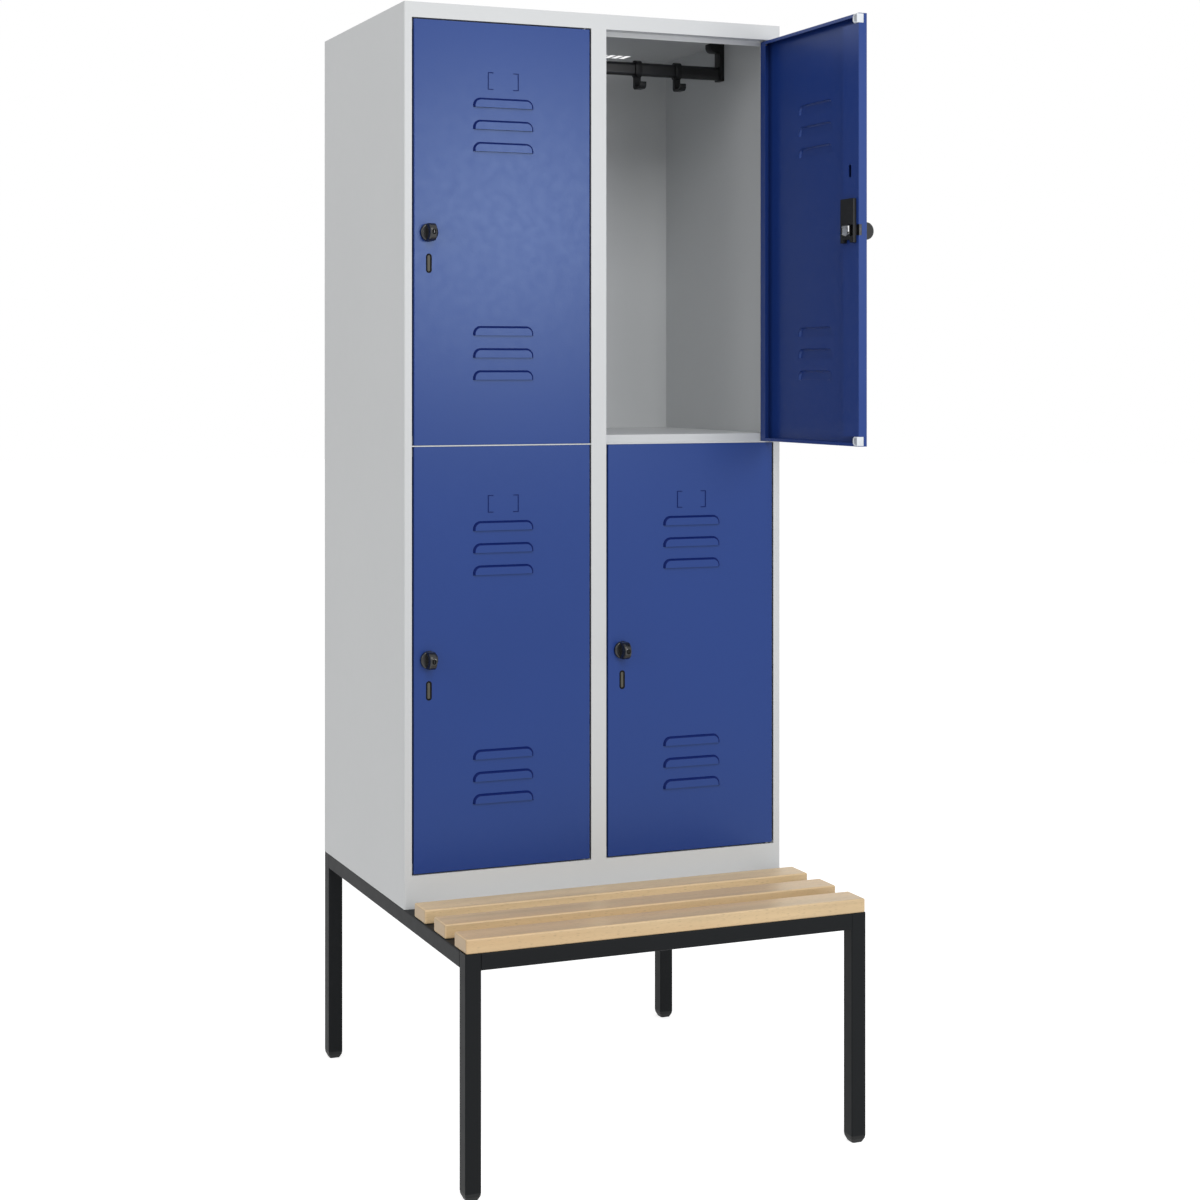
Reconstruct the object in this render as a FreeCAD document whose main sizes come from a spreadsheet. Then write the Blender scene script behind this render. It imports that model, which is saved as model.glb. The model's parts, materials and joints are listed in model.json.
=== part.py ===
import FreeCAD, Part
import os
import re

import Sketcher

# A cloakroom locker for a school: four lockers in two columns, standing on a tube frame
# that reaches out in front of them and carries a slatted bench seat.
# +Z is up, the doors face -Y, and the origin lies on the floor under the middle of the whole.
# The upper right door stands open at 90 degrees, the other three are closed.

# Every driving dimension, in millimetres, degrees or pieces.
SIZES = {
    # Carcass: the steel box that holds the lockers.
    "carcass_wide": 800,
    "carcass_deep": 500,
    "carcass_high": 1700,
    "plate": 1,
    "bend_round": 2.5,
    "stile_wide": 15,
    "mullion_wide": 32,
    "top_rail_high": 29,
    "bottom_rail_high": 62,
    "rear_flange": 15,
    "base_flange": 28,
    "shelf_flange": 18,
    # The lip behind each door's edge that the door closes against, and its gap to the door.
    "stop_gap": 4,
    "lock_lap": 10,
    "hinge_lap": 18,
    "top_lap": 10,
    "shelf_lap": 15,
    "nose_thick": 2,
    "strike_play": 1,
    # Doors: pressed pans that turn on pins in their right-hand corners.
    "door_deep": 18,
    "door_gap": 3,
    "lock_gap": 4,
    "hinge_gap": 3,
    "hinge_inset": 8,
    "hinge_depth": 10.5,
    "open_angle": 90,
    "door_round": 1.6,
    "hinge_return": 18,
    "edge_return": 5,
    "stiffener_wide": 54,
    "weld_flange": 10,
    "pin_round": 3,
    "pin_collar": 5,
    "pin_reach": 7,
    "pin_play": 0.05,
    # Louvres and label frame pressed into each door.
    "louvre_wide": 124,
    "louvre_high": 18,
    "louvre_round": 15,
    "louvre_out": 4,
    "louvre_pitch": 42,
    "louvre_drop": 160,
    "louvre_rise": 123,
    "label_wide": 63,
    "label_high": 33,
    "label_drop": 93,
    "label_tab": 11,
    "label_rib": 1.4,
    "label_out": 0.8,
    # Turning-knob lock.
    "lock_inset": 30,
    "knob_round": 17.5,
    "knob_plate": 6,
    "knob_out": 30,
    "fin_thick": 16,
    "fin_round": 16.5,
    "fin_curve": 15.5,
    "key_thick": 1.6,
    "key_high": 8,
    "key_deep": 3,
    "spindle_round": 4,
    "slot_wide": 10,
    "slot_high": 35,
    "slot_drop": 58,
    "case_wide": 44,
    "case_above": 59,
    "case_below": 17,
    "case_deep": 7,
    "case_foot": 6,
    "case_round": 2,
    "bolt_high": 20,
    "bolt_thick": 5,
    "bolt_travel": 11,
    "tail_wide": 30,
    "relief_wide": 8,
    "relief_high": 24,
    "relief_rise": 111,
    "buffer_wide": 15,
    "buffer_high": 17,
    "buffer_deep": 10.5,
    "buffer_proud": 3.6,
    "buffer_bevel": 4,
    # Hanging rail with sliding hooks, one rail in each locker.
    "rail_high": 28,
    "rail_thick": 14,
    "rail_drop": 62,
    "rail_back": 242,
    "rail_wall": 1.5,
    "bracket_thick": 10,
    "bracket_deep": 24,
    "bracket_ear": 32,
    "ear_high": 18,
    "ear_round": 10.8,
    "hook_wide": 14,
    "hook_thick": 4,
    "hook_drop": 43,
    "hook_reach": 30,
    "hook_lip": 14,
    "hook_pitch": 92,
    # Slots through the roof above each upper locker.
    "vent_wide": 14,
    "vent_deep": 42,
    "vent_pitch": 18,
    "vent_back": 10,
    # Stand and bench.
    "stand_high": 428,
    "bench_reach": 315,
    "tube_side": 30,
    "tube_wall": 2,
    "tube_round": 2.5,
    "foot_high": 14,
    "foot_waist": 8,
    "foot_taper": 1,
    "foot_round": 4,
    "foot_tip": 21,
    "foot_plug": 20,
    "slat_wide": 58,
    "slat_thick": 26,
    "slat_round": 3,
    "slat_pitch": 103,
    "slat_inset": 1.5,
    # Fixings and fits.
    "screw_round": 3,
    "screw_head": 6,
    "head_high": 4,
    "screw_bite": 15,
    "screw_clear": 4,
    "fixing_inset": 60,
    "running_play": 0.3,
}
COUNTS = {"louvres": 3, "hooks": 3, "vents": 10, "slats": 3}

doc = FreeCAD.newDocument("school_locker")
sheet = doc.addObject("Spreadsheet::Sheet", "Sizes")
for row, (alias, size) in enumerate(SIZES.items(), start=1):
    sheet.set(f"A{row}", alias)
    sheet.set(f"B{row}", str(size))
    sheet.setAlias(f"B{row}", alias)
doc.recompute()

pieces = []


# ---- Helpers -------------------------------------------------------------------------------

def sized(text):
    """Turn words of an expression into cells of the sheet, as in 'plate * 2'."""
    return re.sub(r"[a-z_]+", lambda word: f"Sizes.{word.group()}", str(text))


def value(text):
    """The present value of an expression."""
    return float(sheet.evalExpression(sized(text)))


def bind(item, name, text):
    item.setExpression(name, sized(text))


def place(item, x="0", y="0", z="0", angle=None):
    """Put a piece's own origin at a point, turned about +Z by angle if one is given."""
    if angle is not None:
        item.Placement = FreeCAD.Placement(
            FreeCAD.Vector(), FreeCAD.Rotation(FreeCAD.Vector(0, 0, 1), value(angle)))
        bind(item, "Placement.Rotation.Angle", angle)
    for axis, text in zip("xyz", (x, y, z)):
        bind(item, f"Placement.Base.{axis}", text)


def new_body(label, keep=True):
    """An empty body. A kept one is a piece of its own and is written to its own file."""
    body = doc.addObject("PartDesign::Body", label)
    body.Label = label
    body.AllowCompound = True
    if keep:
        pieces.append(body)
    return body


def hold(sketch, rules):
    """Add constraints in one go. A rule is (constraint, expression or None)."""
    numbers = sketch.addConstraint([rule for rule, _ in rules])
    for number, (_, text) in zip(numbers, rules):
        if text is not None:
            sketch.setExpression(f"Constraints[{number}]", sized(text))


def point_rules(geometry, point, x, y):
    """Tie a point of a sketch to the sketch's origin by two signed distances."""
    return [(Sketcher.Constraint(kind, -1, 1, geometry, point, value(text)), text)
            for kind, text in (("DistanceX", x), ("DistanceY", y))]


def draw_circle(sketch, x, y, radius):
    centre = FreeCAD.Vector(value(x), value(y), 0)
    number = sketch.addGeometry(Part.Circle(centre, FreeCAD.Vector(0, 0, 1), value(radius)), False)
    limit = Sketcher.Constraint("Radius", number, value(radius))
    hold(sketch, [*point_rules(number, 3, x, y), (limit, radius)])


def step_from(corner, neighbour, radius):
    """The point one radius away from a corner towards its neighbour, along an axis."""
    moved = []
    for here, there in zip(corner, neighbour):
        gap = value(there) - value(here)
        sign = "+" if gap > 0 else "-"
        moved.append(here if abs(gap) < 1e-6 else f"({here}) {sign} ({radius})")
    return tuple(moved)


def draw_outline(sketch, corners):
    """A closed outline. A corner is (x, y), or (x, y, radius) between two lines along the axes."""
    count = len(corners)
    stops = []
    for number, corner in enumerate(corners):
        here = tuple(corner[:2])
        if len(corner) == 2:
            stops.append([here])
            continue
        before = corners[number - 1][:2]
        after = corners[(number + 1) % count][:2]
        stops.append([step_from(here, before, corner[2]), step_from(here, after, corner[2])])
    ends = []
    rules = []
    for number, corner in enumerate(corners):
        start, finish = stops[number][-1], stops[(number + 1) % count][0]
        points = [FreeCAD.Vector(value(x), value(y), 0) for x, y in (start, finish)]
        line = sketch.addGeometry(Part.LineSegment(*points), False)
        rules += [*point_rules(line, 1, *start), *point_rules(line, 2, *finish)]
        ends.append(line)
    for number, corner in enumerate(corners):
        if len(corner) == 2:
            continue
        start, finish = (FreeCAD.Vector(value(x), value(y), 0) for x, y in stops[number])
        peak = FreeCAD.Vector(value(corner[0]), value(corner[1]), 0)
        centre = start + finish - peak
        middle = centre + (peak - centre).normalize() * value(corner[2])
        arc = sketch.addGeometry(Part.Arc(start, middle, finish), False)
        first = 1 if sketch.getPoint(arc, 1).isEqual(start, 1e-6) else 2
        rules += [(Sketcher.Constraint("Coincident", arc, first, ends[number - 1], 2), None),
                  (Sketcher.Constraint("Coincident", arc, 3 - first, ends[number], 1), None),
                  (Sketcher.Constraint("Radius", arc, value(corner[2])), corner[2])]
    hold(sketch, rules)


def extrude(body, plane, span, *shapes, cut=False):
    """Pad or cut shapes drawn on one of the body's origin planes, over a span of the third axis.

    A shape is a list of corners, or a tuple (x, y, radius) for a circle. The XZ plane's normal
    is -Y, so its sketch stands at the other end of the span.
    """
    low, high = span
    sketch = body.newObject("Sketcher::SketchObject", f"{body.Name}_outline")
    face = next(item for item in body.Origin.OriginFeatures if item.Role == f"{plane}_Plane")
    sketch.AttachmentSupport = [(face, "")]
    sketch.MapMode = "FlatFace"
    backwards = plane == "XZ"
    start = high if backwards != cut else low
    bind(sketch, "AttachmentOffset.Base.z", f"-({start})" if backwards else start)
    for shape in shapes:
        if isinstance(shape, tuple):
            draw_circle(sketch, *shape)
        else:
            draw_outline(sketch, shape)
    kind = "Pocket" if cut else "Pad"
    feature = body.newObject(f"PartDesign::{kind}", f"{body.Name}_{kind.lower()}")
    feature.Profile = sketch
    bind(feature, "Length", f"({high}) - ({low})")
    return feature


def rectangle(x, y, radius=None):
    """Corners of a rectangle over two (low, high) spans, all rounded if a radius is given."""
    corners = [(x[0], y[0]), (x[1], y[0]), (x[1], y[1]), (x[0], y[1])]
    return [corner if radius is None else (*corner, radius) for corner in corners]


def slab(body, x, y, z, cut=False):
    """Add or cut a block over three (low, high) spans."""
    return extrude(body, "XY", z, rectangle(x, y), cut=cut)


def group(label, members):
    """Equal pieces that share a node stay separate solids in one compound."""
    compound = doc.addObject("Part::Compound", label)
    compound.Label = label
    compound.Links = members
    pieces.append(compound)
    return compound


# ---- Places worked out from the driving dimensions -------------------------------------------

# A slot's ends are rounded by a little under half its width, so that a short flat stays.
END_ROUND = 0.49
# The open door's knob stands out on the right, and the origin is midway across the whole.
OVERHANG = "(hinge_depth + running_play + knob_out - stile_wide - hinge_gap - hinge_inset)"
MIDDLE = f"(-{OVERHANG} / 2)"
LEFT, RIGHT = f"({MIDDLE} - carcass_wide / 2)", f"({MIDDLE} + carcass_wide / 2)"
DOOR_WIDE = "((carcass_wide - mullion_wide) / 2 - stile_wide - lock_gap - hinge_gap)"
DOOR_HIGH = "((carcass_high - bottom_rail_high - top_rail_high - 3 * door_gap) / 2)"
# The open door reaches furthest forward, and the origin is midway between it and the rear.
FRONT = f"(({DOOR_WIDE} - hinge_inset - hinge_depth - carcass_deep) / 2)"
REAR, BENCH_FRONT = f"({FRONT} + carcass_deep)", f"({FRONT} - bench_reach)"
BASE, TOP = "stand_high", "stand_high + carcass_high"
STOP = f"{FRONT} + door_deep + stop_gap"
STOP_REAR = f"{STOP} + plate"
RAILS_LOW, RAILS_HIGH = f"{BASE} + bottom_rail_high", f"{TOP} - top_rail_high"

# Each column's clear opening, its side walls' faces and the line of its hinge pins.
OPENING = {
    "left": (f"{LEFT} + stile_wide", f"{MIDDLE} - mullion_wide / 2"),
    "right": (f"{MIDDLE} + mullion_wide / 2", f"{RIGHT} - stile_wide"),
}
WALLS = {"left": (f"{LEFT} + plate", f"{MIDDLE} - plate / 2"),
         "right": (f"{MIDDLE} + plate / 2", f"{RIGHT} - plate")}
HINGE_X = {side: f"{OPENING[side][1]} - hinge_gap - hinge_inset" for side in OPENING}
HINGE_Y = f"{FRONT} + hinge_depth"

# Each row's door bottom and the ceiling over it.
DOOR_FOOT = {"lower": f"{RAILS_LOW} + door_gap"}
DOOR_FOOT["upper"] = f"{DOOR_FOOT['lower']} + {DOOR_HIGH} + door_gap"
SHELF_TOP = f"{DOOR_FOOT['upper']} + shelf_lap"
FLOOR_TOP = f"{DOOR_FOOT['lower']} + shelf_lap"
CEILING = {"lower": f"{SHELF_TOP} - plate", "upper": f"{TOP} - plate"}
LOCK_HEIGHT = f"{DOOR_HIGH} / 2"

# A door's own frame: origin on its hinge line at its bottom edge, closed, facing -Y.
DOOR_LEFT, DOOR_RIGHT = f"hinge_inset - {DOOR_WIDE}", "hinge_inset"
DOOR_FACE, DOOR_BACK = "-hinge_depth", "door_deep - hinge_depth"
DOOR_MIDDLE = f"hinge_inset - {DOOR_WIDE} / 2"
KNOB_X = f"{DOOR_LEFT} + lock_inset"
BOLT_BACK = f"{DOOR_BACK} - plate - running_play"
BOLT_FRONT = f"{BOLT_BACK} - bolt_thick"


# ---- Carcass ---------------------------------------------------------------------------------

def strike_holes(body, x):
    """Openings in a door post's return that each lock's bolt shoots into."""
    y = (f"{HINGE_Y} + {BOLT_FRONT} - 2 * running_play", f"{HINGE_Y} + {BOLT_BACK} + 2 * running_play")
    for foot in DOOR_FOOT.values():
        middle = f"{foot} + {LOCK_HEIGHT}"
        z = (f"{middle} - bolt_high / 2 - strike_play", f"{middle} + bolt_high / 2 + strike_play")
        extrude(body, "YZ", x, rectangle(y, z), cut=True)


def base_flange(body, x):
    """The foot flange by which a side wall stands on the frame, with its screw holes."""
    slab(body, x, (f"{FRONT} + plate", f"{REAR} - plate"), (BASE, f"{BASE} + plate"))
    middle = f"(({x[0]}) + ({x[1]})) / 2"
    holes = [(middle, y, "screw_round") for y in FIXING_Y]
    extrude(body, "XY", (BASE, f"{BASE} + plate"), *holes, cut=True)


FIXING_Y = (f"{FRONT} + fixing_inset", f"{REAR} - fixing_inset")
FLANGE_X = {"left": (f"{LEFT} + plate", f"{LEFT} + base_flange"),
            "right": (f"{RIGHT} - base_flange", f"{RIGHT} - plate")}


def make_sides():
    """Side walls, each bent at the front into a stile and at the rear into a flange."""
    left = new_body("side_left")
    extrude(left, "XY", (BASE, TOP), [
        (LEFT, FRONT, "bend_round"), (f"{LEFT} + stile_wide", FRONT),
        (f"{LEFT} + stile_wide", f"{FRONT} + plate"), (f"{LEFT} + plate", f"{FRONT} + plate"),
        (f"{LEFT} + plate", f"{REAR} - plate"), (f"{LEFT} + rear_flange", f"{REAR} - plate"),
        (f"{LEFT} + rear_flange", REAR), (LEFT, REAR)])
    edge = f"{LEFT} + stile_wide"
    extrude(left, "XY", (RAILS_LOW, RAILS_HIGH), [
        (f"{edge} - plate", f"{FRONT} + plate / 2"), (edge, f"{FRONT} + plate / 2"), (edge, STOP),
        (f"{edge} + lock_lap", STOP), (f"{edge} + lock_lap", STOP_REAR),
        (f"{edge} - plate", STOP_REAR)])
    strike_holes(left, (f"{edge} - plate", edge))
    base_flange(left, FLANGE_X["left"])

    right = new_body("side_right")
    extrude(right, "XY", (BASE, TOP), [
        (RIGHT, FRONT, "bend_round"), (RIGHT, REAR), (f"{RIGHT} - rear_flange", REAR),
        (f"{RIGHT} - rear_flange", f"{REAR} - plate"), (f"{RIGHT} - plate", f"{REAR} - plate"),
        (f"{RIGHT} - plate", f"{FRONT} + plate"), (f"{RIGHT} - stile_wide", f"{FRONT} + plate"),
        (f"{RIGHT} - stile_wide", FRONT)])
    slab(right, (f"{RIGHT} - stile_wide - hinge_lap", f"{RIGHT} - plate / 2"), (STOP, STOP_REAR),
         (RAILS_LOW, RAILS_HIGH))
    base_flange(right, FLANGE_X["right"])


def make_partition():
    """Middle post, folded back into the upright sheet between the two columns."""
    post = new_body("partition")
    low, high = OPENING["left"][1], OPENING["right"][0]
    extrude(post, "XY", (RAILS_LOW, RAILS_HIGH), [
        (low, FRONT), (high, FRONT), (high, STOP), (f"{high} + lock_lap", STOP),
        (f"{high} + lock_lap", STOP_REAR), (f"{low} - hinge_lap", STOP_REAR),
        (f"{low} - hinge_lap", STOP), (f"{high} - plate", STOP),
        (f"{high} - plate", f"{FRONT} + plate"), (low, f"{FRONT} + plate")])
    thickness = (WALLS["left"][1], WALLS["right"][0])
    slab(post, thickness, (STOP, f"{STOP_REAR} + plate"), (FLOOR_TOP, RAILS_HIGH))
    slab(post, thickness, (STOP_REAR, f"{REAR} - plate"), (FLOOR_TOP, f"{TOP} - plate"))
    strike_holes(post, (f"{high} - plate", high))


def make_top():
    """Roof sheet, folded down into the top rail and back up to a lip behind the doors."""
    top = new_body("top_panel")
    between = (f"{LEFT} + stile_wide", f"{RIGHT} - stile_wide")
    slab(top, (f"{LEFT} + plate", f"{RIGHT} - plate"), (f"{FRONT} + plate", f"{REAR} - plate"),
         (f"{TOP} - plate", TOP))
    slab(top, between, (FRONT, f"{FRONT} + plate"), (RAILS_HIGH, TOP))
    slab(top, between, (FRONT, STOP_REAR), (RAILS_HIGH, f"{RAILS_HIGH} + plate"))
    for side, (low, high) in OPENING.items():
        slab(top, (f"{low} + lock_lap", f"{high} - hinge_lap"), (STOP, STOP_REAR),
             (f"{RAILS_HIGH} - top_lap", f"{RAILS_HIGH} + plate"))
        extrude(top, "XY", (RAILS_HIGH, f"{RAILS_HIGH} + plate"),
                (HINGE_X[side], HINGE_Y, "pin_round"), cut=True)
        middle = f"(({low}) + ({high})) / 2"
        slots = []
        for number in range(COUNTS["vents"]):
            centre = f"{middle} + {number - (COUNTS['vents'] - 1) / 2} * vent_pitch"
            slots.append(rectangle((f"{centre} - vent_wide / 2", f"{centre} + vent_wide / 2"),
                                   (f"{REAR} - vent_back - vent_deep", f"{REAR} - vent_back")))
        extrude(top, "XY", (f"{TOP} - plate", TOP), *slots, cut=True)


def make_bottom():
    """Bottom rail, stepped back and up into the floor of the lower lockers."""
    bottom = new_body("bottom_panel")
    between = (f"{LEFT} + stile_wide", f"{RIGHT} - stile_wide")
    slab(bottom, between, (FRONT, f"{FRONT} + plate"), (BASE, RAILS_LOW))
    slab(bottom, between, (FRONT, STOP_REAR), (f"{RAILS_LOW} - plate", RAILS_LOW))
    for side, (low, high) in OPENING.items():
        inside = (f"{low} + lock_lap", f"{high} - hinge_lap")
        slab(bottom, inside, (STOP, STOP_REAR), (f"{RAILS_LOW} - plate", FLOOR_TOP))
        slab(bottom, inside, (STOP, f"{STOP_REAR} + plate"), (f"{FLOOR_TOP} - plate", FLOOR_TOP))
        extrude(bottom, "XY", (f"{RAILS_LOW} - plate", RAILS_LOW),
                (HINGE_X[side], HINGE_Y, "pin_round"), cut=True)
    slab(bottom, (f"{LEFT} + plate", f"{RIGHT} - plate"), (STOP_REAR, f"{REAR} - plate"),
         (f"{FLOOR_TOP} - plate", FLOOR_TOP))


def make_shelves():
    """One shelf in each column, with a nose between the doors that holds the middle pin."""
    shelves = []
    for side, (low, high) in OPENING.items():
        shelf = new_body(f"shelf_{side}", keep=False)
        shelves.append(shelf)
        inside = (f"{low} + lock_lap", f"{high} - hinge_lap")
        flange_low = f"{DOOR_FOOT['upper']} - door_gap - shelf_lap"
        slab(shelf, WALLS[side], (STOP_REAR, f"{REAR} - plate"), (f"{SHELF_TOP} - plate", SHELF_TOP))
        slab(shelf, inside, (STOP, f"{STOP_REAR} + plate"), (f"{SHELF_TOP} - plate", SHELF_TOP))
        slab(shelf, inside, (STOP, STOP_REAR), (flange_low, SHELF_TOP))
        slab(shelf, WALLS[side], (f"{REAR} - 2 * plate", f"{REAR} - plate"),
             (f"{SHELF_TOP} - shelf_flange", SHELF_TOP))
        gap_middle = f"{DOOR_FOOT['upper']} - door_gap / 2"
        nose_x = (f"{low} + running_play", f"{high} - running_play")
        nose_z = (f"{gap_middle} - nose_thick / 2", f"{gap_middle} + nose_thick / 2")
        slab(shelf, nose_x, (FRONT, STOP), nose_z)
        extrude(shelf, "XY", nose_z, (HINGE_X[side], HINGE_Y, "pin_round"), cut=True)
    group("shelves", shelves)


def make_rear():
    """Rear wall, lying on the side walls' flanges."""
    rear = new_body("rear_panel")
    slab(rear, (f"{LEFT} + rear_flange", f"{RIGHT} - rear_flange"), (f"{REAR} - plate", REAR), (BASE, TOP))


def rod(label, x, y, *steps):
    """A turned pin or screw along Z: each step is (low, high, radius)."""
    body = new_body(label, keep=False)
    for low, high, radius in steps:
        extrude(body, "XY", (low, high), (x, y, radius))
    return body


def make_pins():
    """Hinge pins: one under, one between and one over the doors of each column."""
    pins = []
    gap_middle = f"{DOOR_FOOT['upper']} - door_gap / 2"
    for side, x in HINGE_X.items():
        collar = f"{RAILS_LOW} + door_gap / 2 + plate"
        pins.append(rod(f"pin_low_{side}", x, HINGE_Y,
                        (f"{RAILS_LOW} - pin_reach", f"{RAILS_LOW} + pin_reach + door_gap", "pin_round"),
                        (RAILS_LOW, collar, "pin_collar")))
        pins.append(rod(f"pin_middle_{side}", x, HINGE_Y,
                        (f"{gap_middle} - pin_reach", f"{gap_middle} + pin_reach", "pin_round")))
        collar = f"{RAILS_HIGH} - door_gap / 2"
        pins.append(rod(f"pin_high_{side}", x, HINGE_Y,
                        (f"{RAILS_HIGH} - pin_reach - door_gap", f"{RAILS_HIGH} + pin_reach", "pin_round"),
                        (collar, RAILS_HIGH, "pin_collar")))
    group("hinge_pins", pins)


# ---- Doors -----------------------------------------------------------------------------------

def place_door(item, column, level):
    """Hang a door piece on its hinge line; the upper right door stands open."""
    angle = "open_angle" if (column, level) == ("right", "upper") else None
    place(item, HINGE_X[column], HINGE_Y, DOOR_FOOT[level], angle)


def louvre_feet():
    """Heights of the louvres' lower edges: one group near the top of the door, one near its foot."""
    steps = range(COUNTS["louvres"])
    high = [f"{DOOR_HIGH} - louvre_drop - {step} * louvre_pitch" for step in steps]
    low = [f"louvre_rise + {step} * louvre_pitch" for step in steps]
    return high + low


def louvre_outline(foot, inset="0", below="0"):
    """A louvre seen from the front: straight below, rounded at its two upper corners."""
    half = f"louvre_wide / 2 - {inset}"
    low, high = f"{foot} + {below}", f"{foot} + louvre_high - {inset}"
    return [(f"{DOOR_MIDDLE} - ({half})", low), (f"{DOOR_MIDDLE} + {half}", low),
            (f"{DOOR_MIDDLE} + {half}", high, "louvre_round"),
            (f"{DOOR_MIDDLE} - ({half})", high, "louvre_round")]


def label_ribs():
    """Two facing brackets that a name card slips between."""
    high = f"{DOOR_HIGH} - label_drop"
    low = f"{high} - label_high"
    ribs = []
    for sign in ("-", "+"):
        outer = f"{DOOR_MIDDLE} {sign} label_wide / 2"
        inner = f"{DOOR_MIDDLE} {sign} (label_wide / 2 - label_rib)"
        tip = f"{DOOR_MIDDLE} {sign} (label_wide / 2 - label_tab)"
        ribs.append([(outer, low), (tip, low), (tip, f"{low} + label_rib"), (inner, f"{low} + label_rib"),
                     (inner, f"{high} - label_rib"), (tip, f"{high} - label_rib"), (tip, high),
                     (outer, high)])
    return ribs


def make_door_pan(name, column, level):
    """The pressed door: skin, four folded edges and their returns, louvres and openings."""
    door = new_body(name)
    extrude(door, "XY", ("0", DOOR_HIGH), [
        (DOOR_LEFT, DOOR_FACE, "door_round"), (DOOR_RIGHT, DOOR_FACE, "door_round"),
        (DOOR_RIGHT, DOOR_BACK), (DOOR_LEFT, DOOR_BACK)])
    inside_x = (f"{DOOR_LEFT} + plate", f"{DOOR_RIGHT} - plate")
    extrude(door, "XZ", (f"{DOOR_FACE} + plate", DOOR_BACK),
            rectangle(inside_x, ("plate", f"{DOOR_HIGH} - plate")), cut=True)
    back = (f"{DOOR_BACK} - plate", DOOR_BACK)
    slab(door, (f"{DOOR_RIGHT} - hinge_return", f"{DOOR_RIGHT} - plate / 2"), back,
         ("plate / 2", f"{DOOR_HIGH} - plate / 2"))
    for z in (("plate / 2", "plate + edge_return"),
              (f"{DOOR_HIGH} - plate - edge_return", f"{DOOR_HIGH} - plate / 2")):
        slab(door, (f"{DOOR_LEFT} + plate / 2", f"{DOOR_RIGHT} - plate / 2"), back, z)
    hood_face = f"{DOOR_FACE} - louvre_out"
    extrude(door, "XZ", (hood_face, f"{DOOR_FACE} + plate / 2"),
            *[louvre_outline(foot) for foot in louvre_feet()])
    extrude(door, "XZ", (f"{hood_face} + plate", DOOR_FACE),
            *[louvre_outline(foot, "plate", "-plate") for foot in louvre_feet()], cut=True)
    extrude(door, "XZ", (f"{DOOR_FACE} - plate", f"{DOOR_FACE} + 2 * plate"),
            *[louvre_outline(foot, "plate", "plate") for foot in louvre_feet()], cut=True)
    extrude(door, "XZ", (f"{DOOR_FACE} - label_out", f"{DOOR_FACE} + plate / 2"), *label_ribs())
    slot_z = f"{LOCK_HEIGHT} - slot_drop"
    slot = rectangle((f"{KNOB_X} - slot_wide / 2", f"{KNOB_X} + slot_wide / 2"),
                     (f"{slot_z} - slot_high / 2", f"{slot_z} + slot_high / 2"), f"slot_wide * {END_ROUND}")
    extrude(door, "XZ", (DOOR_FACE, f"{DOOR_FACE} + plate"), slot,
            (KNOB_X, LOCK_HEIGHT, "spindle_round + pin_play"), cut=True)
    extrude(door, "YZ", (DOOR_LEFT, f"{DOOR_LEFT} + plate"), rectangle(
        (f"{BOLT_FRONT} - running_play", DOOR_BACK),
        (f"{LOCK_HEIGHT} - bolt_high / 2 - running_play", f"{LOCK_HEIGHT} + bolt_high / 2 + running_play")),
        cut=True)
    for z in (("0", "plate"), (f"{DOOR_HIGH} - plate", DOOR_HIGH)):
        extrude(door, "XY", z, ("0", "0", "pin_round + pin_play"), cut=True)
    for z in (("plate", "plate + buffer_high"),
              (f"{DOOR_HIGH} - plate - buffer_high", f"{DOOR_HIGH} - plate")):
        slab(door, (DOOR_LEFT, f"{DOOR_LEFT} + buffer_wide"),
             (f"{DOOR_BACK} - buffer_deep", DOOR_BACK), z, cut=True)
    place_door(door, column, level)


def lock_window():
    """The window in which the bolt's tail slides, seen from the back of the door."""
    half = "(tail_wide + bolt_travel) / 2 + running_play"
    return rectangle((f"{KNOB_X} - ({half})", f"{KNOB_X} + {half}"),
                     (f"{LOCK_HEIGHT} - bolt_high / 2 - running_play",
                      f"{LOCK_HEIGHT} + bolt_high / 2 + running_play"))


def make_stiffener(name, column, level):
    """Folded channel behind the lock edge of the door."""
    channel = new_body(name)
    inner = f"{DOOR_LEFT} + stiffener_wide"
    skin = f"{DOOR_FACE} + plate"
    ends = ("plate + buffer_high + running_play", f"{DOOR_HIGH} - plate - buffer_high - running_play")
    extrude(channel, "XY", ends, [
        (f"{DOOR_LEFT} + plate", f"{DOOR_BACK} - plate"), (f"{inner} - plate", f"{DOOR_BACK} - plate"),
        (f"{inner} - plate", skin), (f"{inner} + weld_flange", skin),
        (f"{inner} + weld_flange", f"{skin} + plate"), (inner, f"{skin} + plate"),
        (inner, DOOR_BACK), (f"{DOOR_LEFT} + plate", DOOR_BACK)])
    relief_z = f"{LOCK_HEIGHT} + relief_rise"
    relief = rectangle((f"{KNOB_X} - relief_wide / 2", f"{KNOB_X} + relief_wide / 2"),
                       (f"{relief_z} - relief_high / 2", f"{relief_z} + relief_high / 2"),
                       f"relief_wide * {END_ROUND}")
    extrude(channel, "XZ", (f"{DOOR_BACK} - plate", DOOR_BACK), lock_window(), relief, cut=True)
    notch = (f"{DOOR_LEFT} + plate", f"{KNOB_X} - (tail_wide + bolt_travel) / 2")
    slab(channel, notch, (f"{DOOR_BACK} - plate", DOOR_BACK),
         (f"{LOCK_HEIGHT} - bolt_high / 2 - running_play", f"{LOCK_HEIGHT} + bolt_high / 2 + running_play"),
         cut=True)
    place_door(channel, column, level)


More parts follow.
